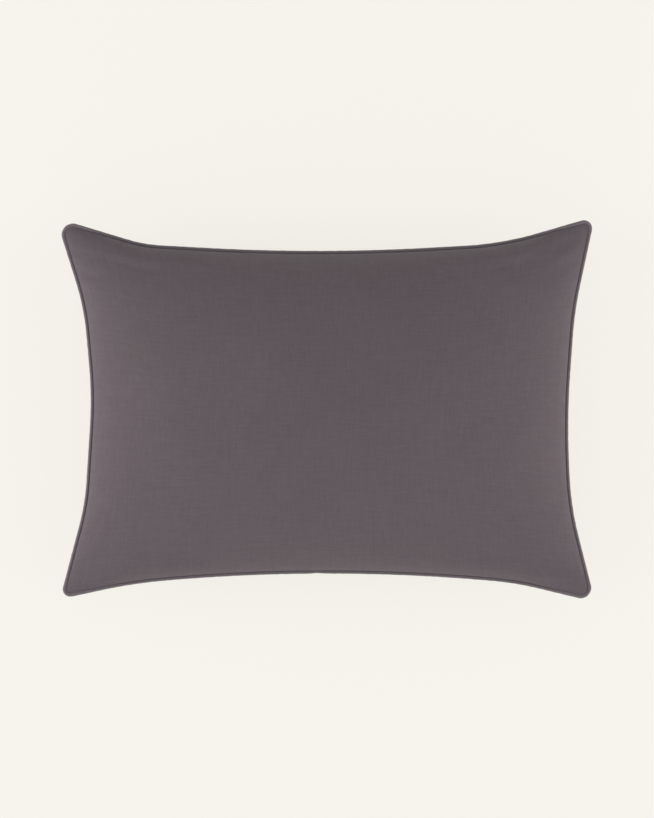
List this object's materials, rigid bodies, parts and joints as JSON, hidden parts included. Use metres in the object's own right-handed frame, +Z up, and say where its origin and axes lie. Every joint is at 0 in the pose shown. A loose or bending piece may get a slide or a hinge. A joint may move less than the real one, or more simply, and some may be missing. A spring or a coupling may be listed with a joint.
{
  "type": "bed pillow",
  "caption": "Plump oblong bed pillow lying flat: a dark plain-weave cover with self-piped edges and a zip under one long edge, on a stuffed insert.",
  "frame": {"origin": "under the middle of the pillow, on the surface that it lies on", "axes": "+X along the long sides, +Y along the short sides away from the zip, +Z up, out of the front face"},
  "size_m": [0.6961, 0.4962, 0.186],
  "materials": {
    "cover_cloth": "matte, fine even weave",
    "piping_cloth": "matte, fine even weave",
    "cotton_cord": "matte",
    "thread": "soft sheen",
    "ticking": "matte, dense weave",
    "ticking_thread": "soft sheen",
    "fibre_fill": "matte",
    "zip_tape": "matte",
    "zip_coil": "satin",
    "zip_metal": "satin"
  },
  "bodies": {
    "pillow": {"cover_front_panel": "cover_cloth", "cover_back_panel": "cover_cloth", "piping_wrap": "piping_cloth", "piping_cord": "cotton_cord", "cover_seam_thread": "thread", "cover_overlock_thread": "thread", "insert_front_panel": "ticking", "insert_back_panel": "ticking", "insert_seam_thread": "ticking_thread", "fill": "fibre_fill", "zip_tape_upper": "zip_tape", "zip_tape_lower": "zip_tape", "zip_coil_upper": "zip_coil", "zip_coil_lower": "zip_coil", "zip_top_stop_upper": "zip_metal", "zip_top_stop_lower": "zip_metal", "zip_bottom_stop": "zip_metal", "zip_stitch_thread": "thread"},
    "zip_slider": {"zip_slider": "zip_metal"},
    "zip_pull": {"zip_pull": "zip_metal"}
  },
  "joints": [
    {"name": "zip_slider_travel", "type": "hinge", "parent": "pillow", "child": "zip_slider", "pos_m": [0, -2.67606, 0], "axis": [0, 0, 1], "range_deg": [0, 8.8]},
    {"name": "zip_pull_swing", "type": "hinge", "parent": "zip_slider", "child": "zip_pull", "pos_m": [0.18975, -0.21973, 0.07612], "axis": [-0.0385, -0.4985, 0.866], "range_deg": [0, 165]}
  ]
}
